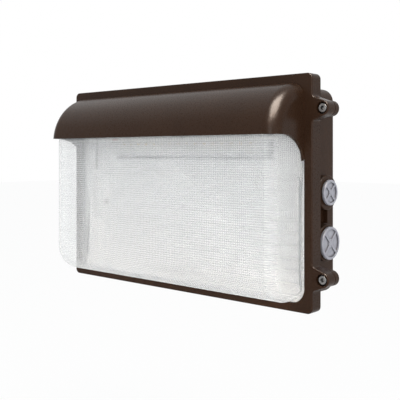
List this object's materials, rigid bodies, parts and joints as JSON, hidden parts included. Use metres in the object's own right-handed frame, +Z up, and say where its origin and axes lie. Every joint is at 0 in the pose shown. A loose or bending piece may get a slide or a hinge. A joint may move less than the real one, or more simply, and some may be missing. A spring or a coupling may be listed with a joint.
{
  "type": "wall pack light",
  "caption": "Outdoor wall light with a cast housing, a side-hinged door with a hood and a deep ribbed glass lens, and plugged conduit entries in its side.",
  "frame": {"origin": "middle of the wire entry on the flat back of the housing, in the wall's plane", "axes": "+Y into the wall, so the light faces -Y; +Z up; +X to the right as seen from the front"},
  "size_m": [0.3943, 0.1143, 0.235],
  "materials": {
    "bronze_paint": "satin powder coat",
    "lens_glass": "clear ribbed glass",
    "white_paint": "white gloss",
    "bare_aluminium": "mill finish",
    "steel": "plated",
    "black_rubber": "matt",
    "white_rubber": "matt",
    "board_white": "satin",
    "chip_yellow": "satin",
    "driver_case": "matt",
    "terminal_plastic": "matt",
    "wire_sleeve": "matt",
    "ground_sleeve": "matt",
    "plug_plastic": "matt"
  },
  "bodies": {
    "housing": {"back_housing": "bronze_paint", "upper_hinge_pin": "steel", "lower_hinge_pin": "steel", "reflector": "white_paint", "reflector_screws": "steel", "led_heatsink": "bare_aluminium", "heatsink_screws": "steel", "led_board": "board_white", "led_chips": "chip_yellow", "board_screws": "steel", "led_driver": "driver_case", "driver_screws": "steel", "terminal_block": "terminal_plastic", "terminal_screws": "steel", "ground_screw": "steel", "led_leads": "wire_sleeve", "supply_leads": "wire_sleeve", "ground_lead": "ground_sleeve"},
    "door": {"door_frame": "bronze_paint", "lens": "lens_glass", "lens_gasket": "white_rubber", "lens_retainer": "white_paint", "retainer_screws": "steel", "door_gasket": "black_rubber"},
    "upper_washer": {"upper_screw_washer": "black_rubber"},
    "upper_screw": {"upper_door_screw": "steel"},
    "lower_washer": {"lower_screw_washer": "black_rubber"},
    "lower_screw": {"lower_door_screw": "steel"},
    "upper_seal": {"upper_entry_seal": "black_rubber"},
    "upper_plug": {"upper_conduit_plug": "plug_plastic"},
    "lower_seal": {"lower_entry_seal": "black_rubber"},
    "lower_plug": {"lower_conduit_plug": "plug_plastic"}
  },
  "joints": [
    {"name": "door_hinge", "type": "hinge", "parent": "housing", "child": "door", "pos_m": [-0.19, -0.048, 0], "axis": [0, 0, -1], "range_deg": [0, 150]},
    {"name": "upper_screw_travel", "type": "slide", "parent": "door", "child": "upper_washer", "axis": [0, -1, 0], "range_m": [0, 0.0064]},
    {"name": "upper_screw_turn", "type": "hinge", "parent": "upper_washer", "child": "upper_screw", "pos_m": [0.1915, -0.064, 0.0827], "axis": [0, -1, 0], "range_deg": [0, 2881]},
    {"name": "lower_screw_travel", "type": "slide", "parent": "door", "child": "lower_washer", "axis": [0, -1, 0], "range_m": [0, 0.0064]},
    {"name": "lower_screw_turn", "type": "hinge", "parent": "lower_washer", "child": "lower_screw", "pos_m": [0.1915, -0.064, -0.0827], "axis": [0, -1, 0], "range_deg": [0, 2881]},
    {"name": "upper_plug_travel", "type": "slide", "parent": "housing", "child": "upper_seal", "axis": [1, 0, 0], "range_m": [0, 0.0108]},
    {"name": "upper_plug_turn", "type": "hinge", "parent": "upper_seal", "child": "upper_plug", "pos_m": [0.1778, -0.023, -0.0009], "axis": [1, 0, 0], "range_deg": [0, 2161]},
    {"name": "lower_plug_travel", "type": "slide", "parent": "housing", "child": "lower_seal", "axis": [1, 0, 0], "range_m": [0, 0.0108]},
    {"name": "lower_plug_turn", "type": "hinge", "parent": "lower_seal", "child": "lower_plug", "pos_m": [0.1778, -0.023, -0.0522], "axis": [1, 0, 0], "range_deg": [0, 2161]}
  ],
  "couplings": [
    {"joint": "upper_screw_turn", "follows": "upper_screw_travel", "rad_per_m": 7854},
    {"joint": "lower_screw_turn", "follows": "lower_screw_travel", "rad_per_m": 7854},
    {"joint": "upper_plug_turn", "follows": "upper_plug_travel", "rad_per_m": 3490.7},
    {"joint": "lower_plug_turn", "follows": "lower_plug_travel", "rad_per_m": 3490.7}
  ]
}
